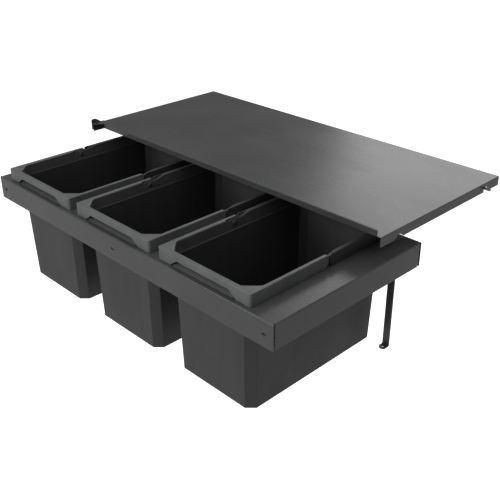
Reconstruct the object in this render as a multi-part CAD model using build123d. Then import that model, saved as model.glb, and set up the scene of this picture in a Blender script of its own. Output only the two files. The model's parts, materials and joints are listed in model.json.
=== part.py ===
from build123d import *
import os

# Pull-out waste sorter for a kitchen cabinet: a folded steel carrier tray that holds three lift-out
# bins, and a folded steel cover that stays in the cabinet above the bins while the tray slides out.
#
# Axes: +X to the right along the front, +Y to the back, +Z up.
# Origin: on the outside of the tray's front skirt, at the centre of its row of three fixing slots.

os.makedirs("parts", exist_ok=True)

# ---------------------------------------------------------------- driving dimensions, millimetres

# carrier tray, folded from one sheet
tray_width = 850.0
tray_depth = 396.0
tray_height = 50.0
tray_sheet = 2.0
fold_radius = 2.5          # outside of each fold
fold_inner_radius = 0.6
corner_seam = 5.5          # the side skirts start and end this far inside the front and back
skirt_corner_radius = 5.0  # lower rear corners of the side skirts

# fixing slots in the front skirt
slot_drop = 26.0           # from the tray's top down to the slots
slot_inset = 20.0          # from the tray's ends to the outer slots
slot_length = 9.5
slot_width = 5.5

# bins
bin_names = ("left", "middle", "right")
first_bin_margin = 31.7    # from the tray's left end to the first rim
front_margin = 9.2         # from the tray's front to the rims
rear_margin = 3.5          # from the rims to the tray's back
bin_gap = 26.3             # between two neighbouring rims
rim_width = 235.7
rim_height = 25.3          # rim top above the tray's top
bin_drop = 232.5           # bin floor below the tray's top
bin_wall = 2.2
bin_floor = 2.6
bin_chamfer = 15.5         # flat across each upright corner of the bin
upright_blend = 3.0        # rounds each side of that flat
floor_blend = 2.5
side_inset_top = 14.35     # bin wall's outside, inwards from the rim's outside
side_inset_bottom = 19.35
front_inset_top = 13.3
front_inset_bottom = 18.1
rear_inset_top = 9.6
rear_inset_bottom = 19.0

# rim of a bin: a skirt, a top band, a collar and a flange
seat_gap = 0.3             # between the tray's top and what rests on it
skirt_wall = 2.5
band_wall = 3.5
rim_corner_radius = 5.5
rim_edge_blend = 1.4
flange_thickness = 3.0
flange_clearance = 1.0     # between the flange's edge and the bail's skirt
collar_wall = 2.0
collar_clearance = 4.4     # between the skirt and the collar
collar_end_extra = 2.9     # the band is this much wider at the front and back than at the sides
collar_chamfer = 24.0      # across the collar's inside corners, at its top
collar_foot_chamfer = 18.0
collar_side_ledge = 2.35   # left inside the bin between the leaning collar's foot and the wall
collar_front_ledge = 1.0
collar_blend = 9.0         # rounds each end of that chamfer
band_inner_blend = 3.0     # rounds the band down into the bin
band_clearance = 0.3       # between the bail's band edge and the collar's inner face
collar_top_gap = 0.8       # between the collar and the bail's band

# bail: the front half of the rim, which swings up as a carrying handle
bail_foot_gap = 1.0        # under the bail's skirt
pivot_setback = 178.0      # from the rim's front to the pivot axis
bail_gap = 3.5             # between the bail's round ends and the fixed rear rim
end_top_blend = 5.5        # upper corner of each round end
end_bottom_blend = 10.6    # lower corner, large enough to clear the tray as the bail swings
narrow_setback = 20.0      # the band is narrow this far in front of the pivot axis
arm_clearance = 0.5        # between the bail's arms and the collar
dip_depth = 5.0            # the collar and the rear rim's inside dip beside the round ends
dip_length = 32.0          # from the rear rim's start back to where its inside is level again
scoop_top_half = 66.0      # finger scoop under the bail's front bar
scoop_bottom_half = 85.5
scoop_height = 13.0
scoop_corner_radius = 3.0
foot_length = 15.0         # the skirt's two front corners reach down to the tray
apron_half = 76.0          # sloped apron seen through the scoop
apron_setback = 0.6        # its foot, behind the rim's front
apron_foot = 1.2           # height of its front edge
apron_rise = 9.7           # its top on the collar, above its foot

# pivot pins
pin_radius = 2.0
pin_running_clearance = 0.05
pin_cover = 1.5            # bail material left outside the pin's end
pin_head_radius = 4.0
pin_head_height = 1.2
pin_boss_radius = 5.5      # flat boss on the leaning collar, under the pin's head

# cover
cover_overhang = 6.0       # past each end of the tray
cover_depth = 389.0        # from the ears' tips to the back
cover_sheet = 1.5
cover_headroom = 23.3      # from the rims' top to the cover's front fold
cover_setback = 258.0      # ears' tips behind the tray's front
cover_skirt = 19.2
front_fold = 12.0
ear_length = 18.0
ear_tip_width = 8.4
ear_root_width = 21.0
front_notch_depth = 7.5    # notches in the side skirts
rear_notch_depth = 10.6
front_notch = (38.0, 30.0, 13.0, 13.0)   # start behind the ears' tips, width, front and rear slopes
rear_notch = (333.0, 22.0, 1.5, 12.0)
cover_fold_radius = 2.0

# hook on the cover's left ear and tongues in its rear notches
hook_sheet = 2.0
hook_rise = 10.0           # above the cover's top
hook_overhang = 3.0        # in front of the ear's tip
hook_length = 30.0
hook_drop = 15.0
hook_root = 9.0            # straight foot of the hook behind its crest
tongue_width = 9.0
tongue_sheet = 2.0
tongue_setback = 6.5       # its middle, behind the start of the rear notch
tongue_drop = 2.5          # below the notch's top
tongue_reach = 11.0        # outwards from the skirt
tongue_fall = 1.0          # the tip is this much lower than the root
tongue_lap = 10.0          # welded length under the cover

# hanging straps behind the outer bins
strap_width = 15.0
strap_sheet = 3.0
strap_setback = 366.0      # strap's front face behind the tray's front
right_strap_inset = 39.0   # strap centre, inwards from the tray's right end
left_strap_inset = 24.0
strap_foot_drop = 3.5      # foot's underside below the bins' bottoms
foot_reach = 16.0          # foot's tip in front of the strap's front face
foot_hole_radius = 2.75
foot_hole_reach = 8.5
strap_fold_radius = 4.0
strap_flange = 24.0        # under the tray, behind the strap's front face
rivet_radius = 2.4
rivet_head_radius = 4.75
rivet_head_height = 1.3
rivet_tail_radius = 3.9
rivet_tail_height = 1.6
rivet_pitch = 10.0
rivet_edge = 5.0           # last rivet's axis from the flange's end

# play round the bins in the tray
cutout_clearance = 1.5

# ------------------------------------------------------------------------------ derived positions

tray_top = slot_drop
tray_left = -tray_width / 2
bin_pitch = rim_width + bin_gap
rim_depth = tray_depth - front_margin - rear_margin
cover_width = tray_width + 2 * cover_overhang
cover_top = tray_top + rim_height + cover_headroom + front_fold
skirt_low = cover_top - cover_skirt
strap_under = tray_top - bin_drop - strap_foot_drop
rim_top = tray_top + rim_height
seat = tray_top + seat_gap
flange_top = seat + flange_thickness
band_under = rim_top - band_wall
collar_top = band_under - collar_top_gap
dip_top = rim_top - dip_depth
skirt_foot = tray_top + bail_foot_gap
arm_height = rim_top - skirt_foot
arm_radius = arm_height / 2
pivot_height = skirt_foot + arm_radius
collar_outer_inset = skirt_wall + collar_clearance
collar_inner_inset = collar_outer_inset + collar_wall
collar_end_inset = collar_inner_inset + collar_end_extra
foot_side_inset = side_inset_top + bin_wall - collar_side_ledge
foot_front_inset = front_inset_top + bin_wall - collar_front_ledge
foot_rear_inset = rear_inset_top + bin_wall
band_inset = collar_inner_inset - band_clearance
arm_inset = collar_outer_inset - arm_clearance
flange_inset = skirt_wall + flange_clearance
boss_low = (pivot_height - pin_boss_radius - seat) / (collar_top - seat)
boss_face = foot_side_inset + boss_low * (collar_inner_inset - foot_side_inset)
rear_start = pivot_setback + arm_radius + bail_gap
far = 1000.0


def bin_left(index):
    """X of the left side of a bin's rim."""
    return tray_left + first_bin_margin + index * bin_pitch


def block(x, y, z):
    """A box between pairs of coordinates."""
    size = Box(x[1] - x[0], y[1] - y[0], z[1] - z[0])
    return Pos((x[0] + x[1]) / 2, (y[0] + y[1]) / 2, (z[0] + z[1]) / 2) * size


def prism(outline, z_low, z_high):
    """A flat outline at height 0, raised between two heights."""
    return Pos(0, 0, z_low) * extrude(outline, z_high - z_low)


def rod_x(radius, x, y, z):
    """A round bar along X between two X values."""
    bar = Rot(0, 90, 0) * Cylinder(radius, x[1] - x[0])
    return Pos((x[0] + x[1]) / 2, y, z) * bar


def rod_z(radius, x, y, z):
    """A round bar along Z between two heights."""
    return Pos(x, y, (z[0] + z[1]) / 2) * Cylinder(radius, z[1] - z[0])


# ------------------------------------------------------------------------------------ outlines
# A bin is drawn with the front left corner of its rim at X 0, Y 0, and then moved to its place.


def rounded_outline(inset):
    """The rim's outside, moved inwards by inset."""
    across = rim_width - 2 * inset
    along = rim_depth - 2 * inset
    radius = max(rim_corner_radius - inset, 0.5)
    return Pos(rim_width / 2, rim_depth / 2) * RectangleRounded(across, along, radius)


def mouth_outline(side, front, rear, slant, outwards):
    """A rectangle with rounded chamfers, given by its insets and then moved outwards."""
    across = rim_width - 2 * (side - outwards)
    along = rim_depth - front - rear + 2 * outwards
    face = chamfer(Rectangle(across, along).vertices(), slant + (2 - 2**0.5) * outwards)
    face = fillet(face.vertices(), collar_blend + outwards)
    return Pos(rim_width / 2, front - outwards + along / 2) * face


def collar_outline(inset):
    """The rim's chamfered inside, at an inset from the rim's outside."""
    end = collar_end_inset
    return mouth_outline(collar_inner_inset, end, end, collar_chamfer, collar_inner_inset - inset)


def collar_form(outwards, z_high):
    """The leaning collar's inner face, moved outwards, and upright from its top to a height."""
    foot = mouth_outline(
        foot_side_inset, foot_front_inset, foot_rear_inset, collar_foot_chamfer, outwards
    )
    top = collar_outline(collar_inner_inset - outwards)
    form = loft([Pos(0, 0, seat) * foot, Pos(0, 0, collar_top) * top], ruled=True)
    if z_high > collar_top:
        form += prism(top, collar_top, z_high)
    return form


def wall_outline(side, front, rear, slant):
    """A chamfered rectangle given by its insets from the rim's outside."""
    across = rim_width - 2 * side
    along = rim_depth - front - rear
    face = chamfer(Rectangle(across, along).vertices(), slant)
    return Pos(rim_width / 2, front + along / 2) * face


def bucket(thinner, z_low, z_high):
    """The tapered bin form, made thinner by an even amount all round, between two heights."""
    slant = bin_chamfer - (2 - 2**0.5) * thinner
    full = bin_drop
    faces = []
    for z in (z_low, z_high):
        share = (tray_top - z) / full
        side = side_inset_top + share * (side_inset_bottom - side_inset_top)
        front = front_inset_top + share * (front_inset_bottom - front_inset_top)
        rear = rear_inset_top + share * (rear_inset_bottom - rear_inset_top)
        outline = wall_outline(side + thinner, front + thinner, rear + thinner, slant)
        faces.append(Pos(0, 0, z) * outline)
    form = loft(faces, ruled=True)
    uprights = form.edges().filter_by(lambda e: abs(e.tangent_at(0.5).Z) > 0.8)
    return fillet(uprights, upright_blend)


def end_zone(end, away):
    """The side view of half a rim: it runs from a round end at one Y to another Y far away."""
    outline = Polyline((end, skirt_foot), (end, rim_top), (away, rim_top), (away, skirt_foot), close=True)
    face = make_face(outline)
    for z, radius in ((rim_top, end_top_blend), (skirt_foot, end_bottom_blend)):
        corner = [v for v in face.vertices() if abs(v.X - end) < 0.01 and abs(v.Y - z) < 0.01]
        face = fillet(corner, radius)
    return extrude(Plane.YZ * face, rim_width)


# ------------------------------------------------------------------------------------ bins


def dip_cutter():
    """What is cut off above the collar beside the round ends, back to where the rear rim is level."""
    front = pivot_setback - narrow_setback
    end = rear_start + dip_length
    above = rim_top + 2
    with BuildSketch() as outline:
        with BuildLine():
            low = Line((front, dip_top), (rear_start + 2, dip_top))
            rise = Spline(low @ 1, (end, rim_top), tangents=((1, 0), (1, 0)))
            lip = Line(rise @ 1, (end, above))
            lid = Line(lip @ 1, (front, above))
            Line(lid @ 1, low @ 0)
        make_face()
    cut = extrude(Plane.YZ * outline.sketch, rim_width)
    return cut & block((skirt_wall, rim_width - skirt_wall), (-far, far), (-far, far))


def make_apron():
    """The slope behind the finger scoop, from the rim's front up to the collar."""
    share = apron_rise / (collar_top - seat)
    inner = foot_front_inset + share * (collar_end_inset - foot_front_inset)
    side = Polyline(
        (apron_setback, seat),
        (apron_setback, seat + apron_foot),
        (inner - collar_wall, seat + apron_rise),
        (inner - collar_wall / 2, seat + apron_rise),
        (foot_front_inset - collar_wall / 2, seat),
        close=True,
    )
    slope = extrude(Plane.YZ * make_face(side), apron_half, both=True)
    return Pos(rim_width / 2, 0, 0) * slope


def make_bin():
    """One bin: tapered bucket, flange, collar and the fixed rear half of the rim."""
    bottom = tray_top - bin_drop
    shell = bucket(0, bottom, flange_top)
    shell = fillet(shell.faces().sort_by(Axis.Z)[0].edges(), floor_blend)
    shell += prism(rounded_outline(flange_inset), seat, flange_top)
    shell += make_apron()
    collar = collar_form(collar_wall, collar_top)
    mouth = collar_form(0, rim_top + 1)
    rear = prism(rounded_outline(0), seat, rim_top)
    rear = fillet(rear.faces().sort_by(Axis.Z)[-1].edges(), rim_edge_blend)
    rear -= mouth
    top_inside = rear.faces().sort_by(Axis.Z)[-1].inner_wires()[0].edges()
    rear = fillet(top_inside, band_inner_blend)
    rear &= end_zone(rear_start, rim_depth + 1)
    channel = prism(rounded_outline(skirt_wall), seat - 1, band_under)
    channel -= collar_form(collar_wall, band_under)
    channel &= block((-far, far), (rear_start + dip_length, far), (seat - 1, rim_top))
    channel -= bucket(0, bottom, flange_top)
    body = shell + collar + rear - channel
    # the flange is cut back beside the round ends of the bail's arms
    eye_room = (pivot_setback - narrow_setback, rear_start)
    for x in ((-far, collar_outer_inset), (rim_width - collar_outer_inset, far)):
        body -= block(x, eye_room, (seat - 1, flange_top + 1))
    body -= bucket(bin_wall, bottom + bin_floor, seat)
    body -= bucket(bin_wall, seat, flange_top) & mouth
    body -= mouth & block((-far, far), (-far, far), (flange_top, far))
    body -= dip_cutter()
    for x in ((collar_outer_inset, boss_face), (rim_width - boss_face, rim_width - collar_outer_inset)):
        body += rod_x(pin_boss_radius, x, pivot_setback, pivot_height)
    for x in ((0, rim_width / 2), (rim_width / 2, rim_width)):
        body -= rod_x(pin_radius, x, pivot_setback, pivot_height)
    return body


def make_bail():
    """The front half of the rim: a U-shaped channel with solid round ends."""
    reach = pivot_setback + arm_radius
    cap = prism(rounded_outline(0), skirt_foot, rim_top)
    cap = fillet(cap.faces().sort_by(Axis.Z)[-1].edges(), rim_edge_blend)
    cap -= prism(collar_outline(band_inset), skirt_foot - 1, rim_top + 1)
    top_inside = cap.faces().sort_by(Axis.Z)[-1].inner_wires()[0].edges()
    cap = fillet(top_inside, band_inner_blend)
    hollow = prism(rounded_outline(skirt_wall), skirt_foot - 1, band_under)
    hollow &= block((-far, far), (-far, pivot_setback - arm_radius), (-far, far))
    narrow = block(
        (arm_inset, rim_width - arm_inset),
        (pivot_setback - narrow_setback, reach + 1),
        (skirt_foot - 1, rim_top + 1),
    )
    bail = (cap - hollow - narrow) & end_zone(reach, -1)
    middle = rim_width / 2
    top = skirt_foot + scoop_height
    scoop = Polyline(
        (middle - scoop_bottom_half, skirt_foot - 1),
        (middle - scoop_top_half, top),
        (middle + scoop_top_half, top),
        (middle + scoop_bottom_half, skirt_foot - 1),
        close=True,
    )
    scoop = make_face(scoop)
    scoop = fillet(scoop.vertices().group_by(Axis.Y)[-1], scoop_corner_radius)
    cut = extrude(Plane.XZ * scoop, skirt_wall + 2, both=True)
    bail -= cut
    foot = prism(rounded_outline(0) - rounded_outline(skirt_wall), seat, skirt_foot)
    for x in ((0, foot_length), (rim_width - foot_length, rim_width)):
        bail += foot & block(x, (0, foot_length), (seat, skirt_foot))
    hole = pin_radius + pin_running_clearance
    pin_end = pin_cover - pin_running_clearance
    bail -= rod_x(hole, (pin_end, rim_width - pin_end), pivot_setback, pivot_height)
    return bail


def make_pin():
    """A headed pin pushed outwards through the collar into the bail's left arm."""
    head = (boss_face, boss_face + pin_head_height)
    pin = rod_x(pin_radius, (pin_cover, head[0]), pivot_setback, pivot_height)
    return pin + rod_x(pin_head_radius, head, pivot_setback, pivot_height)


def mirrored(shape):
    """The same piece on the other side of a bin."""
    return Pos(rim_width, 0, 0) * mirror(shape, Plane.YZ)


# ------------------------------------------------------------------------------------ tray


def channel_profile(width, height, sheet, outer, inner):
    """A downward-open channel: its top edge at Y 0, centred on X 0."""
    outside = Pos(0, -height / 2) * Rectangle(width, height)
    outside = fillet(outside.vertices().group_by(Axis.Y)[-1], outer)
    hollow = Pos(0, -sheet - height / 2) * Rectangle(width - 2 * sheet, height)
    hollow = fillet(hollow.vertices().group_by(Axis.Y)[-1], inner)
    return outside - hollow


def make_tray():
    """The tray: top with three cut-outs, four folded skirts and the slots in front."""
    half = tray_width / 2
    across = channel_profile(tray_width, tray_height, tray_sheet, fold_radius, fold_inner_radius)
    sides = extrude(Plane.XZ * across, -(tray_depth - 2 * corner_seam))
    feet = sides.edges().filter_by(Axis.X).group_by(Axis.Z)[0].group_by(Axis.Y)[-1]
    sides = Pos(0, corner_seam, tray_top) * fillet(feet, skirt_corner_radius)
    along = channel_profile(tray_depth, tray_height, tray_sheet, fold_radius, fold_inner_radius)
    ends = Pos(-half, tray_depth / 2, tray_top) * extrude(Plane.YZ * along, tray_width)
    # the plate's corners are cut back so that the side skirts can fold
    between = (fold_radius, tray_depth - fold_radius)
    for x in ((-half - 1, fold_radius - half), (half - fold_radius, half + 1)):
        ends -= block(x, between, (-far, far))
    tray = sides + ends
    hole = wall_outline(
        side_inset_top - cutout_clearance,
        front_inset_top - cutout_clearance,
        rear_inset_top - cutout_clearance,
        bin_chamfer,
    )
    for index in range(len(bin_names)):
        cut = prism(hole, tray_top - 2 * tray_sheet, tray_top + 1)
        tray -= Pos(bin_left(index), front_margin, 0) * cut
    for x in (slot_inset - half, 0, half - slot_inset):
        slot = SlotOverall(slot_length, slot_width)
        tray -= Pos(x, 0, 0) * extrude(Plane.XZ * slot, 2 * tray_sheet, both=True)
    for x in strap_centres():
        for y in rivet_rows():
            tray -= rod_z(rivet_radius, x, y, (tray_top - 2 * tray_sheet, tray_top + 1))
    return tray


# ------------------------------------------------------------------------------------ straps


def strap_centres():
    """X of the left and the right strap."""
    return (left_strap_inset - tray_width / 2, tray_width / 2 - right_strap_inset)


def rivet_rows():
    """Y of the two rivets in each strap's flange."""
    last = strap_setback + strap_flange - rivet_edge
    return (last - rivet_pitch, last)


def make_strap(x):
    """A flat bar: flange under the tray, upright, and a foot turned to the front."""
    top = tray_top - tray_sheet
    under = strap_under
    back = strap_setback + strap_sheet
    side = Polyline(
        (strap_setback + strap_flange, top),
        (strap_setback, top),
        (strap_setback, under + strap_sheet),
        (strap_setback - foot_reach, under + strap_sheet),
        (strap_setback - foot_reach, under),
        (back, under),
        (back, top - strap_sheet),
        (strap_setback + strap_flange, top - strap_sheet),
        close=True,
    )
    face = make_face(side)
    corners = face.vertices()
    outer = [v for v in corners if (v.X, v.Y) in ((strap_setback, top), (back, under))]
    face = fillet(outer, strap_fold_radius)
    corners = face.vertices()
    inner_points = ((back, top - strap_sheet), (strap_setback, under + strap_sheet))
    inner = [v for v in corners if (v.X, v.Y) in inner_points]
    face = fillet(inner, strap_fold_radius - strap_sheet)
    strap = extrude(Plane.YZ * face, strap_width / 2, both=True)
    tip = strap.edges().filter_by(Axis.Z).group_by(Axis.Y)[0]
    strap = fillet(tip, strap_width / 2 - 0.5)
    strap = Pos(x, 0, 0) * strap
    foot = (under - 1, under + strap_sheet + 1)
    strap -= rod_z(foot_hole_radius, x, strap_setback - foot_hole_reach, foot)
    for y in rivet_rows():
        strap -= rod_z(rivet_radius, x, y, (top - strap_sheet - 1, top + 1))
    return strap


def make_rivets(x):
    """Two rivets that hold a strap's flange under the tray."""
    under = tray_top - tray_sheet - strap_sheet
    rivets = []
    for y in rivet_rows():
        head = rod_z(rivet_head_radius, x, y, (tray_top, tray_top + rivet_head_height))
        rim = head.edges().group_by(Axis.Z)[-1]
        head = fillet(rim, rivet_head_height * 0.8)
        tail = rod_z(rivet_tail_radius, x, y, (under - rivet_tail_height, under))
        rivets.append(head + tail + rod_z(rivet_radius, x, y, (under, tray_top)))
    return Compound(children=rivets)


# ------------------------------------------------------------------------------------ cover


def notch(form, depth, side):
    """A notch in a side skirt with sloping ends."""
    setback, width, front_slope, rear_slope = form
    start = cover_setback + setback
    top = skirt_low + depth
    outline = Polyline(
        (start, skirt_low - 1),
        (start + front_slope, top),
        (start + width - rear_slope, top),
        (start + width, skirt_low - 1),
        close=True,
    )
    cut = extrude(Plane.YZ * make_face(outline), 2 * cover_sheet, both=True)
    return Pos(side * cover_width / 2, 0, 0) * cut


def make_cover():
    """The cover: a flat sheet with folded side skirts, a front fold and two ears."""
    half = cover_width / 2
    top = cover_top
    front = cover_setback + ear_length
    back = cover_setback + cover_depth
    profile = channel_profile(
        cover_width, cover_skirt, cover_sheet, cover_fold_radius, fold_inner_radius
    )
    cover = extrude(Plane.XZ * profile, -cover_depth)
    cover = Pos(0, cover_setback, top) * cover
    # the sheet between the ears ends at the front fold
    gap = Polyline(
        (ear_tip_width - half, cover_setback - 1),
        (ear_root_width - half, front),
        (half - ear_root_width, front),
        (half - ear_tip_width, cover_setback - 1),
        close=True,
    )
    cover -= prism(make_face(gap), top - 2 * cover_sheet, top + 1)
    fold_half = half - ear_root_width
    fold = block((-fold_half, fold_half), (front, front + cover_sheet), (top - front_fold, top))
    cover += fold
    edge = cover.edges().filter_by(Axis.X).group_by(Axis.Z)[-1].sort_by(Axis.Y)
    bend = [e for e in edge if abs(e.center().Y - front) < 0.01]
    cover = fillet(bend, cover_sheet * 0.9)
    for side in (-1, 1):
        cover -= notch(front_notch, front_notch_depth, side)
        cover -= notch(rear_notch, rear_notch_depth, side)
    return cover


def make_hook():
    """The raised plate on the outside of the cover's left ear."""
    top = cover_top
    start = cover_setback - hook_overhang
    crest = top + hook_rise
    low = top - hook_drop
    with BuildSketch() as outline:
        with BuildLine():
            l1 = Line((start, low), (start, crest - 4))
            l2 = RadiusArc(l1 @ 1, (start + 4, crest), 4)
            l3 = Line(l2 @ 1, (start + hook_root, crest))
            l4 = Spline(
                l3 @ 1,
                (start + hook_length, top),
                tangents=((1, 0), (1, 0)),
            )
            l5 = Line(l4 @ 1, (start + hook_length + 6, top))
            l6 = Line(l5 @ 1, (start + hook_length + 6, low))
            Line(l6 @ 1, l1 @ 0)
        make_face()
    plate = extrude(Plane.YZ * outline.sketch, hook_sheet)
    return Pos(-cover_width / 2 - hook_sheet, 0, 0) * plate


def make_tongue(side):
    """A bent tab welded under the cover that points outwards through the rear notch."""
    root = cover_top - cover_sheet
    middle = cover_setback + rear_notch[0] + tongue_setback
    inner = cover_width / 2 - cover_sheet - tongue_lap
    step = cover_width / 2 - cover_sheet - tongue_lap / 2
    level = skirt_low + rear_notch_depth - tongue_drop
    tip = cover_width / 2 + tongue_reach
    line = Polyline(
        (inner, root),
        (step, root),
        (step + 2, level),
        (cover_width / 2 + 1, level),
        (tip, level - tongue_fall),
        (tip, level - tongue_fall - tongue_sheet),
        (cover_width / 2 + 1, level - tongue_sheet),
        (step + 0.6, level - tongue_sheet),
        (step - 1.4, root - tongue_sheet),
        (inner, root - tongue_sheet),
        close=True,
    )
    tongue = extrude(Plane.XZ * make_face(line), tongue_width / 2, both=True)
    tongue = Pos(0, middle, 0) * tongue
    if side < 0:
        tongue = mirror(tongue, Plane.YZ)
    return tongue


# ------------------------------------------------------------------------------------ assembly

nodes = {"carrier_tray": make_tray()}

one_bin = make_bin()
one_bail = make_bail()
one_pin = make_pin()
for index, name in enumerate(bin_names):
    place = Pos(bin_left(index), front_margin, 0)
    nodes[f"{name}_bin"] = place * one_bin
    nodes[f"{name}_bail"] = place * one_bail
    nodes[f"{name}_bin_left_pivot"] = place * one_pin
    nodes[f"{name}_bin_right_pivot"] = place * mirrored(one_pin)

for name, x in zip(("left", "right"), strap_centres()):
    nodes[f"{name}_strap"] = make_strap(x)
    nodes[f"{name}_strap_rivets"] = make_rivets(x)

nodes["cover_plate"] = make_cover()
nodes["cover_left_hook"] = make_hook()
nodes["cover_left_tongue"] = make_tongue(-1)
nodes["cover_right_tongue"] = make_tongue(1)

for name, shape in nodes.items():
    export_step(shape, f"parts/{name}.step")
    box = shape.bounding_box()
    print(name, len(shape.solids()), [round(v, 1) for v in (*box.min, *box.max)])
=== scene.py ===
# %% [markdown]
# # A pull-out waste sorter, finished in Blender
# The object hangs inside a kitchen cabinet: a folded steel tray carries three lift-out bins, and a
# folded steel cover stays in the cabinet above them while the tray rolls out. Nearly everything is
# one dark grey, so the look depends on how a powder coat, a moulded plastic and a few steel parts
# catch the same soft light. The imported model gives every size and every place.

# %% Load the frame
import json
import math

import bmesh
import bpy
from mathutils import Matrix, Vector


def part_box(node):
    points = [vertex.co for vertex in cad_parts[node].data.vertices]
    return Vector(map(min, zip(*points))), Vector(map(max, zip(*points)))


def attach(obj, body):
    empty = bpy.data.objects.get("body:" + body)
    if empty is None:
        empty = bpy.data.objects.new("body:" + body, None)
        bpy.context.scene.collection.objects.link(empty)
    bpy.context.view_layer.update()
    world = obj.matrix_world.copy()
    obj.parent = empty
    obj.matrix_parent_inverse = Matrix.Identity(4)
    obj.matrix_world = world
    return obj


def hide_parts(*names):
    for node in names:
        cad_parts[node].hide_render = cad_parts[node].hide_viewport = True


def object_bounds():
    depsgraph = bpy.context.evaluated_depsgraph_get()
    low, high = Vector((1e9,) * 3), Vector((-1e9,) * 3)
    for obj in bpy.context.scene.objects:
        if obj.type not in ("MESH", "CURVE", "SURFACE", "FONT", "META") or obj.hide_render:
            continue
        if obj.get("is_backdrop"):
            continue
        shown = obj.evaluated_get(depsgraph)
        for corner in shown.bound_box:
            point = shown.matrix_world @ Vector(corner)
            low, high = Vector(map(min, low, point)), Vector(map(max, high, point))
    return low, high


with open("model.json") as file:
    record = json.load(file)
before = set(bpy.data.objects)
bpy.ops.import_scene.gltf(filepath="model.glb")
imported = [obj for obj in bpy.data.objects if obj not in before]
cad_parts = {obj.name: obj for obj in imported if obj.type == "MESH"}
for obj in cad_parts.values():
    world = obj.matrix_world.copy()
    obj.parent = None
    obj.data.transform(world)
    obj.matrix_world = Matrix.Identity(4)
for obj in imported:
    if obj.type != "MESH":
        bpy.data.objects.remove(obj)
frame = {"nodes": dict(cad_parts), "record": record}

cad_low, cad_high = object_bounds()
nodes = frame["nodes"]
slot_of = {part["node"]: part["material_slot"] for part in frame["record"]["subparts"]}
print("pieces in the frame:", len(nodes))

# %% [markdown]
# ## How the picture is shown
# Dark grey finishes need their full range of tones, and a film-like view would lift them and
# turn the white floor grey. The plain standard view keeps both where the light puts them.

# %% View
scene = bpy.context.scene
scene.view_settings.view_transform = "Standard"
scene.view_settings.look = "None"
print("view transform:", scene.view_settings.view_transform)

# %% [markdown]
# ## Node helpers
# Each finish is a small tree of nodes. A helper that adds a node, sets its inputs by name and
# joins it to others keeps every finish readable as a list of what is laid over what. All patterns
# read Object coordinates, which are metres here, so a scale of 1000 is a pattern about 1 mm across.


# %% Helpers for materials
edge_samples = {"samples": 4}


def new_material(name):
    """An empty finish with its shader, and the object's coordinates to lay patterns on."""
    material = bpy.data.materials.new(name)
    material.use_nodes = True
    tree = material.node_tree
    shader = tree.nodes["Principled BSDF"]
    place = tree.nodes.new("ShaderNodeTexCoord").outputs["Object"]
    return material, tree, shader, place


def add_node(tree, kind, settings=None, **inputs):
    """Adds a node. Inputs are given by name with _ for a space; a socket is joined, a value is set."""
    node = tree.nodes.new(kind)
    for key, value in (settings or {}).items():
        setattr(node, key, value)
    for key, value in inputs.items():
        socket = node.inputs[key.replace("_", " ")]
        if isinstance(value, bpy.types.NodeSocket):
            tree.links.new(value, socket)
        else:
            socket.default_value = value
    return node


def noise(tree, place, scale, detail=3.0, roughness=0.5, stretch=None):
    """Cloudy noise, as a value from about 0.3 to 0.7. It can be stretched along an axis."""
    if stretch is not None:
        place = add_node(tree, "ShaderNodeMapping", Vector=place, Scale=stretch).outputs[0]
    node = add_node(
        tree, "ShaderNodeTexNoise", Vector=place, Scale=scale, Detail=detail, Roughness=roughness
    )
    return node.outputs["Fac"]


def ramp(tree, value, low, high, to_low=0.0, to_high=1.0):
    """Maps a value's range onto another, held at both ends."""
    node = add_node(tree, "ShaderNodeMapRange", Value=value)
    node.inputs["From Min"].default_value = low
    node.inputs["From Max"].default_value = high
    node.inputs["To Min"].default_value = to_low
    node.inputs["To Max"].default_value = to_high
    return node.outputs[0]


def mix_colour(tree, share, first, second, blend="MIX"):
    """Mixes two colours, each a socket or a triple, by a share that is a socket or a number."""
    node = tree.nodes.new("ShaderNodeMix")
    node.data_type = "RGBA"
    node.blend_type = blend
    for index, value in ((0, share), (6, first), (7, second)):
        if isinstance(value, bpy.types.NodeSocket):
            tree.links.new(value, node.inputs[index])
        else:
            node.inputs[index].default_value = value if index == 0 else (*value, 1.0)
    return node.outputs[2]


def calculate(tree, operation, first, second):
    """One sum of two values."""
    node = tree.nodes.new("ShaderNodeMath")
    node.operation = operation
    for index, value in enumerate((first, second)):
        if isinstance(value, bpy.types.NodeSocket):
            tree.links.new(value, node.inputs[index])
        else:
            node.inputs[index].default_value = value
    return node.outputs[0]


def edges_of(tree, radius):
    """1 along outside and inside edges, 0 on flat faces: a rounded normal drifts from the true one."""
    rounded = add_node(tree, "ShaderNodeBevel", edge_samples, Radius=radius).outputs[0]
    true = tree.nodes.new("ShaderNodeNewGeometry").outputs["Normal"]
    dot = tree.nodes.new("ShaderNodeVectorMath")
    dot.operation = "DOT_PRODUCT"
    tree.links.new(rounded, dot.inputs[0])
    tree.links.new(true, dot.inputs[1])
    flat, sharp = 0.995, 0.72
    return ramp(tree, dot.outputs["Value"], flat, sharp)


def bumps(tree, layers, radius):
    """Lays bump maps over a rounded edge. A layer is a height socket, its strength and its depth."""
    normal = add_node(tree, "ShaderNodeBevel", edge_samples, Radius=radius).outputs[0]
    for height, strength, depth in layers:
        node = add_node(tree, "ShaderNodeBump", Height=height, Strength=strength, Distance=depth)
        tree.links.new(normal, node.inputs["Normal"])
        normal = node.outputs[0]
    return normal


print("material helpers ready")
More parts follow.
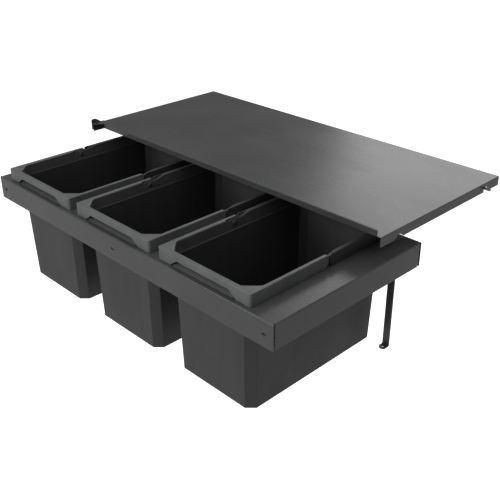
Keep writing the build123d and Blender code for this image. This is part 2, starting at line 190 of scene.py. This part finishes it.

# %% [markdown]
# ## Powder coat
# The tray and the cover are sheet steel under a satin powder coat. The powder melts into a skin
# with a fine orange peel, so the reflections are soft and slightly broken. It is built from a
# peel a millimetre or two across, a much finer grain, a faint cloudiness where the powder lay
# thicker, and a painted highlight along the folds, where the coat is also a little smoother.
# A noise bump was chosen over displaced geometry, because the peel is only a few thousandths of
# a millimetre deep.


# %% Powder-coated steel
def powder_coat(name, colour, gloss):
    """A satin powder coat: colour is its grey, gloss is its mean roughness."""
    material, tree, shader, place = new_material(name)
    cloud = noise(tree, place, 9.0, 4.0)
    speck = noise(tree, place, 1400.0, 2.0)
    # Edge mask: it lays a painted highlight along the folds and edges, and lowers the roughness there.
    edge_highlight_mask = edges_of(tree, 0.0016)
    darker = tuple(0.90 * c for c in colour)
    lighter = tuple(1.12 * c for c in colour)
    tone = mix_colour(tree, ramp(tree, cloud, 0.35, 0.65), darker, lighter)
    tone = mix_colour(tree, ramp(tree, speck, 0.42, 0.72, 0.0, 0.22), tone, (0.16, 0.165, 0.16))
    # Painted highlight: along the edges the coat is lightened towards a paler grey, in patches.
    patchy_highlight = calculate(tree, "MULTIPLY", edge_highlight_mask, ramp(tree, noise(tree, place, 60.0), 0.35, 0.65))
    tone = mix_colour(tree, calculate(tree, "MULTIPLY", patchy_highlight, 0.75), tone, (0.20, 0.206, 0.202))
    tree.links.new(tone, shader.inputs["Base Color"])
    handled = noise(tree, place, 5.0, 5.0, 0.6, (1.0, 2.2, 1.0))
    rough = ramp(tree, handled, 0.3, 0.7, gloss - 0.035, gloss + 0.045)
    rough = calculate(tree, "SUBTRACT", rough, calculate(tree, "MULTIPLY", edge_highlight_mask, 0.05))
    tree.links.new(rough, shader.inputs["Roughness"])
    peel = noise(tree, place, 620.0, 2.0, 0.45)
    grain = noise(tree, place, 2300.0, 2.0, 0.6)
    normal = bumps(tree, [(peel, 0.10, 0.00010), (grain, 0.08, 0.00004)], 0.0006)
    tree.links.new(normal, shader.inputs["Normal"])
    return material


coat_grey = (0.0365, 0.0388, 0.0372)
finishes = {
    "powder_coated_steel": powder_coat("powder_coated_steel", coat_grey, 0.27),
    "dark_coated_steel": powder_coat("dark_coated_steel", (0.047, 0.049, 0.048), 0.40),
}
print("coats:", ", ".join(finishes))

# %% [markdown]
# ## Moulded plastic
# The bins and their bails are moulded polypropylene. The mould was spark-eroded to a fine even
# grain, which scatters the light, so the plastic is duller than the steel. A cell pattern gives
# that grain its tiny rounded pits, faint streaks show how the melt ran down from the gate, and
# the edges carry a painted highlight, a little lighter in colour.


# %% Plastic for the bins and the bails
def moulded_plastic(name, colour, gloss, edge_highlight_strength):
    """Grained polypropylene: colour is its grey, gloss its mean roughness, the last the strength of
    the painted edge highlight.
    """
    material, tree, shader, place = new_material(name)
    streaks = noise(tree, place, 7.0, 4.0, 0.55, (5.0, 5.0, 0.7))
    darker = tuple(0.88 * c for c in colour)
    lighter = tuple(1.12 * c for c in colour)
    tone = mix_colour(tree, ramp(tree, streaks, 0.35, 0.65), darker, lighter)
    # Painted highlight: along the edges the plastic is lightened towards a paler grey, in patches.
    edge_highlight_mask = edges_of(tree, 0.0014)
    patchy_highlight = calculate(tree, "MULTIPLY", edge_highlight_mask, ramp(tree, noise(tree, place, 90.0), 0.35, 0.7))
    highlight_tone = tuple(1.7 * c + 0.01 for c in colour)
    tone = mix_colour(tree, calculate(tree, "MULTIPLY", patchy_highlight, edge_highlight_strength), tone, highlight_tone)
    tree.links.new(tone, shader.inputs["Base Color"])
    scuffs = noise(tree, place, 14.0, 6.0, 0.65)
    rough = ramp(tree, scuffs, 0.3, 0.7, gloss - 0.05, gloss + 0.05)
    tree.links.new(rough, shader.inputs["Roughness"])
    pits = add_node(tree, "ShaderNodeTexVoronoi", Vector=place, Scale=1700.0)
    waves = noise(tree, place, 35.0, 2.0)
    layers = [(pits.outputs["Distance"], 0.12, 0.00005), (waves, 0.08, 0.0006)]
    tree.links.new(bumps(tree, layers, 0.0006), shader.inputs["Normal"])
    return material


finishes["bin_plastic"] = moulded_plastic("bin_plastic", (0.0262, 0.0272, 0.0258), 0.50, 0.30)
finishes["bail_plastic"] = moulded_plastic("bail_plastic", (0.086, 0.091, 0.088), 0.46, 0.40)
finishes["pivot_plastic"] = moulded_plastic("pivot_plastic", (0.018, 0.018, 0.019), 0.36, 0.15)
print("plastics ready")

# %% [markdown]
# ## Rivet steel
# The rivets are zinc-plated steel. Zinc dulls to a mottled grey with a fine crystal spangle, so a
# cell pattern shifts both its colour and its roughness, and the shader is a metal.


# %% Rivets
def plated_steel(name):
    """Dulled zinc plate with a fine spangle."""
    material, tree, shader, place = new_material(name)
    cells = add_node(tree, "ShaderNodeTexVoronoi", Vector=place, Scale=650.0).outputs["Color"]
    spangle = add_node(tree, "ShaderNodeSeparateColor", Color=cells).outputs[0]
    tone = mix_colour(tree, spangle, (0.24, 0.245, 0.24), (0.40, 0.40, 0.39))
    grime = ramp(tree, noise(tree, place, 240.0, 4.0), 0.4, 0.7)
    tone = mix_colour(tree, calculate(tree, "MULTIPLY", grime, 0.5), tone, (0.12, 0.118, 0.11))
    tree.links.new(tone, shader.inputs["Base Color"])
    shader.inputs["Metallic"].default_value = 0.9
    tree.links.new(ramp(tree, spangle, 0.0, 1.0, 0.38, 0.52), shader.inputs["Roughness"])
    dents = noise(tree, place, 500.0, 3.0)
    tree.links.new(bumps(tree, [(dents, 0.2, 0.0001)], 0.0004), shader.inputs["Normal"])
    return material


finishes["rivet_steel"] = plated_steel("rivet_steel")
for name, piece in nodes.items():
    piece.data.materials.clear()
    piece.data.materials.append(finishes[slot_of[name]])
print("finishes laid on", len(nodes), "pieces")

# %% [markdown]
# ## Turned pieces
# A rivet and a pivot pin are bodies of revolution. Each is drawn once as half its outline, a row of
# points given by a distance along the axis and a radius, and then spun round the axis. The first
# and last points lie on the axis, so the ends close on single points. A real rivet head is pressed
# to a shallow dome and its tail is upset to a flat button, and a moulded pin has a chamfered rim
# and a small dimple where the mould pushed it out.


# %% Helpers for pieces
mm = 0.001
touching = 1e-6
turn_steps = 40
smooth_below = math.radians(40)


def turned(shape, profile, start, axis):
    """Spins an outline of (along, radius) points round an axis from start, into a bmesh."""
    axis = Vector(axis)
    side = axis.orthogonal().normalized()
    first = len(shape.verts)
    points = [shape.verts.new(start + axis * along + side * radius) for along, radius in profile]
    edges = [shape.edges.new(pair) for pair in zip(points, points[1:])]
    bmesh.ops.spin(
        shape,
        geom=points + edges,
        cent=start,
        axis=axis,
        angle=math.tau,
        steps=turn_steps,
        use_merge=True,
    )
    made = list(shape.verts)[first:]
    bmesh.ops.remove_doubles(shape, verts=made, dist=touching)


def dome(base, height, radius, points):
    """The upper half of a shallow cap's outline, from its rim to its middle."""
    arc = []
    for index in range(points + 1):
        turn = math.pi / 2 * index / points
        arc.append((base + height * math.sin(turn), radius * math.cos(turn)))
    return arc


def finished(shape, name):
    """Turns a bmesh into an object with outward normals and smooth shading across shallow edges."""
    bmesh.ops.recalc_face_normals(shape, faces=shape.faces)
    mesh = bpy.data.meshes.new(name)
    for face in shape.faces:
        face.smooth = True
    for edge in shape.edges:
        if edge.calc_face_angle(math.pi) > smooth_below:
            edge.smooth = False
    shape.to_mesh(mesh)
    shape.free()
    piece = bpy.data.objects.new(name, mesh)
    scene.collection.objects.link(piece)
    return piece


def stands_for(piece, node, body):
    """Puts a new piece in a CAD node's place, with the same finish and on the same body."""
    piece.data.materials.append(finishes[slot_of[node]])
    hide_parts(node)
    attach(piece, body)


print("helpers for pieces ready")

# %% [markdown]
# ## Rivets
# Two rivets hold each strap's flange under the tray. They are spun from the tail up: a flat button
# with a small round edge, the shank in its hole, and the domed head that shows on the tray's top.
# The node's own box gives both ends, so the head and the tail land on the sheet and the strap.

# %% Rivets turned
rivet_pitch = 10 * mm
head_height, head_radius = 1.3 * mm, 4.7 * mm
tail_height, tail_radius = 1.6 * mm, 3.85 * mm
shank_radius = 2.35 * mm
blend = 0.35 * mm
dome_points = 7
for side in ("left", "right"):
    node = f"{side}_strap_rivets"
    low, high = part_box(node)
    middle = (low + high) / 2
    shape = bmesh.new()
    for row in (-1, 1):
        foot = Vector((middle.x, middle.y + row * rivet_pitch / 2, low.z))
        length = high.z - low.z
        profile = [(0, 0), (0, tail_radius - blend), (blend / 3, tail_radius - blend / 3)]
        profile += [(blend, tail_radius), (tail_height, tail_radius), (tail_height, shank_radius)]
        profile += [(length - head_height, shank_radius), (length - head_height, head_radius)]
        profile += dome(length - head_height + blend, head_height - blend, head_radius, dome_points)
        turned(shape, profile, foot, (0, 0, 1))
    stands_for(finished(shape, node + "_turned"), node, "tray")
print("rivets turned")

# %% [markdown]
# ## Pivot pins
# Each bail turns on two pins, pushed outwards through the collar from inside the bin. A pin is spun
# from its head: the dimple, the chamfered flange that lies on the collar's boss, and the shank.

# %% Pins turned
pin_radius = 2.0 * mm
flange_height = 1.2 * mm
head_chamfer, dimple_radius, dimple_depth = 0.35 * mm, 1.3 * mm, 0.35 * mm
for name in ("left", "middle", "right"):
    for side, towards in (("left", -1), ("right", 1)):
        node = f"{name}_bin_{side}_pivot"
        low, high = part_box(node)
        middle = (low + high) / 2
        length = high.x - low.x
        flange_radius = (high.z - low.z) / 2
        inner_end = Vector((high.x if towards < 0 else low.x, middle.y, middle.z))
        profile = [(dimple_depth, 0), (dimple_depth, dimple_radius - dimple_depth)]
        profile += [(0, dimple_radius), (0, flange_radius - head_chamfer)]
        profile += [(head_chamfer, flange_radius), (flange_height, flange_radius)]
        profile += [(flange_height, pin_radius), (length - head_chamfer, pin_radius)]
        profile += [(length, pin_radius - head_chamfer), (length, 0)]
        shape = bmesh.new()
        turned(shape, profile, inner_end, (towards, 0, 0))
        stands_for(finished(shape, node + "_turned"), node, f"{name}_bin_body")
print("pivot pins turned")

# %% [markdown]
# ## Pieces cut from sheet
# The hook and the two tongues are small sheet parts. Each starts as its outline seen along the
# sheet's width, is pulled out to that width, and then has all its long edges broken by a bevel,
# because a stamped edge is never quite sharp and a thin line of light runs along it. The bevel uses
# an arc, so the broken edge is round.


# %% Helpers for sheet pieces
sharper_than = math.radians(30)
edge_segments = 3


def pulled(outline, start, along, break_edge, name):
    """An outline of points in one plane, pulled along a vector, with every edge broken."""
    shape = bmesh.new()
    corners = [shape.verts.new(start + point) for point in outline]
    face = shape.faces.new(corners)
    grown = bmesh.ops.extrude_face_region(shape, geom=[face])
    moved = [item for item in grown["geom"] if isinstance(item, bmesh.types.BMVert)]
    bmesh.ops.translate(shape, vec=along, verts=moved)
    bmesh.ops.recalc_face_normals(shape, faces=shape.faces)
    sharp = [edge for edge in shape.edges if edge.calc_face_angle(0) > sharper_than]
    bmesh.ops.bevel(
        shape,
        geom=sharp,
        offset=break_edge,
        offset_type="OFFSET",
        affect="EDGES",
        segments=edge_segments,
        profile=0.5,
        material=-1,
        clamp_overlap=True,
    )
    bmesh.ops.remove_doubles(shape, verts=shape.verts, dist=touching)
    return finished(shape, name)


def smooth_fall(start, end, high, low, points):
    """Points that leave a height level, fall in a smooth wave and arrive level."""
    fall = []
    for index in range(points + 1):
        share = index / points
        drop = (1 - math.cos(math.pi * share)) / 2
        fall.append(Vector((0, start + share * (end - start), high + drop * (low - high))))
    return fall


print("helpers for sheet pieces ready")

# %% [markdown]
# ## Hook
# The hook is a plate on the outside of the cover's left ear. Its crest stands above the cover,
# rounded in front, and runs down to the cover's top in one smooth wave, which a cosine gives.

# %% Hook cut
low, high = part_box("cover_left_hook")
ear_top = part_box("cover_plate")[1].z
crest_radius, root, wave_end = 4 * mm, 9 * mm, 30 * mm
crest_points, wave_points = 8, 16
outline = [Vector((0, low.y, low.z))]
for index in range(crest_points + 1):
    turn = math.pi / 2 * index / crest_points
    y = low.y + crest_radius * (1 - math.cos(turn))
    outline.append(Vector((0, y, high.z - crest_radius * (1 - math.sin(turn)))))
outline += smooth_fall(low.y + root, low.y + wave_end, high.z, ear_top, wave_points)
outline += [Vector((0, high.y, ear_top)), Vector((0, high.y, low.z))]
sheet = Vector((high.x - low.x, 0, 0))
hook_edge = 0.25 * mm
hook = pulled(outline, Vector((low.x, 0, 0)), sheet, hook_edge, "cover_left_hook_cut")
stands_for(hook, "cover_left_hook", "cover")
print("hook cut:", len(hook.data.polygons), "faces")

# %% [markdown]
# ## Tongues
# A tongue is a strip welded under the cover. It steps down inside the side skirt, comes out through
# the rear notch and dips a little towards its tip. Its outline is drawn from the welded end, with
# the upper line out and the lower line back, and the left one is the same outline turned outwards.

# %% Tongues bent
tongue_sheet, weld_lap, step_run, level_run = 2 * mm, 5 * mm, 2 * mm, 5.5 * mm
tip_fall, step_back, tongue_edge = 1 * mm, 1.4 * mm, 0.3 * mm
for side, towards in (("left", -1), ("right", 1)):
    node = f"cover_{side}_tongue"
    low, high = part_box(node)
    reach, level = high.x - low.x, tongue_sheet + tip_fall + low.z - high.z
    knee, bend = weld_lap + step_run, weld_lap + step_run + level_run
    upper = [(0, 0), (weld_lap, 0), (knee, level), (bend, level), (reach, level - tip_fall)]
    lower = [(0, 0), (weld_lap - step_back, 0), (knee - step_back, level)]
    lower += [(bend, level), (reach, level - tip_fall)]
    below = [(along, up - tongue_sheet) for along, up in reversed(lower)]
    outline = [Vector((towards * along, 0, up)) for along, up in upper + below]
    root = Vector((low.x if towards > 0 else high.x, low.y, high.z))
    width = Vector((0, high.y - low.y, 0))
    tongue = pulled(outline, root, width, tongue_edge, node + "_bent")
    stands_for(tongue, node, "cover")
print("tongues bent: 2")

# %% [markdown]
# ## Camera
# The view looks down on the right front corner, from about knee height in front of the open
# cabinet. The lens is a short portrait lens, so the far end of the cover shrinks a little.
# The camera is turned by giving it the three directions that it sees as right, up and back.

# %% Camera
focal_in_pictures = 1.531
camera = bpy.data.cameras.new("camera")
camera.sensor_width = 36.0
camera.lens = camera.sensor_width * focal_in_pictures
camera_right = Vector((0.698962, 0.715143, -0.004733))
camera_down = Vector((0.330519, -0.328894, -0.884639))
camera_forward = Vector((-0.634200, 0.616765, -0.466253))
camera_place = Vector((1.1070, -0.7114, 0.6760))
eye = bpy.data.objects.new("camera", camera)
scene.collection.objects.link(eye)
turn = Matrix((camera_right, -camera_down, -camera_forward)).transposed().to_4x4()
eye.matrix_world = Matrix.Translation(camera_place) @ turn
scene.camera = eye
print("lens:", round(camera.lens, 1), "mm")

# %% [markdown]
# ## Floor and light
# The sorter hangs from its slots and feet, so the floor is well below it and takes only a faint,
# wide shadow. An even pale sky fills every side. A large soft panel behind the right end lays a
# bright sheen on the cover that fades to the left, and a wide front panel lifts the front faces.


# %% Floor
def pale_floor(name, drop, half):
    """A large pale sheet below the object, with a very slight mottle."""
    shape = bmesh.new()
    bmesh.ops.create_grid(shape, x_segments=1, y_segments=1, size=half)
    bmesh.ops.translate(shape, vec=(0, 0, cad_low.z - drop), verts=shape.verts)
    mesh = bpy.data.meshes.new(name)
    shape.to_mesh(mesh)
    shape.free()
    floor = bpy.data.objects.new(name, mesh)
    scene.collection.objects.link(floor)
    material, tree, shader, place = new_material(name)
    mottle = noise(tree, place, 3.0)
    tone = mix_colour(tree, mottle, (0.93, 0.93, 0.93), (0.96, 0.96, 0.96))
    tree.links.new(tone, shader.inputs["Base Color"])
    shader.inputs["Roughness"].default_value = 0.9
    shader.inputs["Emission Color"].default_value = (1.0, 1.0, 1.0, 1.0)
    shader.inputs["Emission Strength"].default_value = 0.6
    mesh.materials.append(material)
    floor.visible_diffuse = False
    floor.visible_glossy = False
    floor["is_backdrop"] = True
    return floor


floor_drop = 1.5
floor_half = 30.0
floor = pale_floor("floor", floor_drop, floor_half)
print("floor at", round(cad_low.z - floor_drop, 3), "m")


# %% Lights
def soft_panel(name, place, aim, width, height, radiance):
    """A rectangular soft light at a place, turned to an aim. Radiance is what a mirror would see."""
    light = bpy.data.lights.new(name, "AREA")
    light.shape = "RECTANGLE"
    light.size = width
    light.size_y = height
    light.energy = radiance * math.pi * width * height
    panel = bpy.data.objects.new(name, light)
    scene.collection.objects.link(panel)
    panel.location = place
    panel.rotation_euler = (Vector(aim) - Vector(place)).to_track_quat("-Z", "Y").to_euler()
    return panel


def graded_sky(name, stops):
    """A sky whose brightness depends only on height. A stop is the sine of a height and a radiance."""
    sky = bpy.data.worlds.new(name)
    sky.use_nodes = True
    tree = sky.node_tree
    direction = tree.nodes.new("ShaderNodeTexCoord").outputs["Generated"]
    height = add_node(tree, "ShaderNodeSeparateXYZ", Vector=direction).outputs["Z"]
    strength = None
    for (start, before), (end, after) in zip(stops, stops[1:]):
        step = ramp(tree, height, start, end, 0.0, after - before)
        strength = step if strength is None else calculate(tree, "ADD", strength, step)
    strength = calculate(tree, "ADD", strength, stops[0][1])
    background = tree.nodes["Background"]
    background.inputs["Color"].default_value = (1.0, 1.0, 1.0, 1.0)
    tree.links.new(strength, background.inputs["Strength"])
    return sky


scene.world = graded_sky("sky", [(-0.10, 0.55), (0.0, 0.13), (0.38, 0.15), (0.80, 0.95)])
soft_panel("back_panel", (-0.40, 3.2, 1.45), (0.1, 0.3, 0.0), 3.0, 2.0, 1.8)
soft_panel("front_panel", (-0.7, -3.2, 1.6), (0.0, 0.2, 0.0), 3.0, 2.0, 5.6)
print("a graded sky and two soft panels")

# %% Sizes
low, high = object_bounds()
